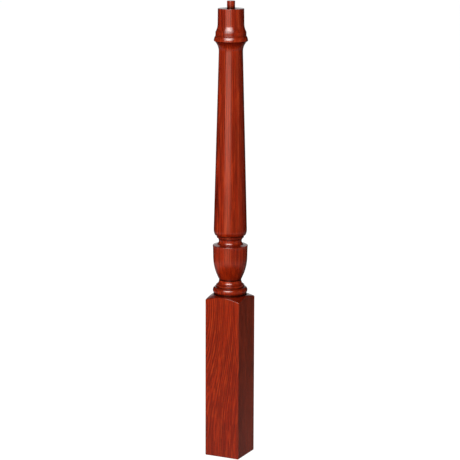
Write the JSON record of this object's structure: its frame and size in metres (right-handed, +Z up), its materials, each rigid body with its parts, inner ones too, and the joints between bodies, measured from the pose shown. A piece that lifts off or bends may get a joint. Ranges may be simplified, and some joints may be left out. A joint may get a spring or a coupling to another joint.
{
  "type": "newel post",
  "caption": "Turned wooden newel post with a square foot block, a vase, a long tapered shaft, a flat-topped cap and a pin for the handrail.",
  "frame": {"origin": "centre of the square underside, on the floor", "axes": "+Z up along the turning axis, X and Y square to the faces of the foot block"},
  "size_m": [0.0888, 0.0888, 1.101],
  "materials": {
    "stained_wood": "red mahogany stain on open-grained wood under glossy clear lacquer"
  },
  "bodies": {
    "root": {"newel_post": "stained_wood"}
  },
  "joints": []
}
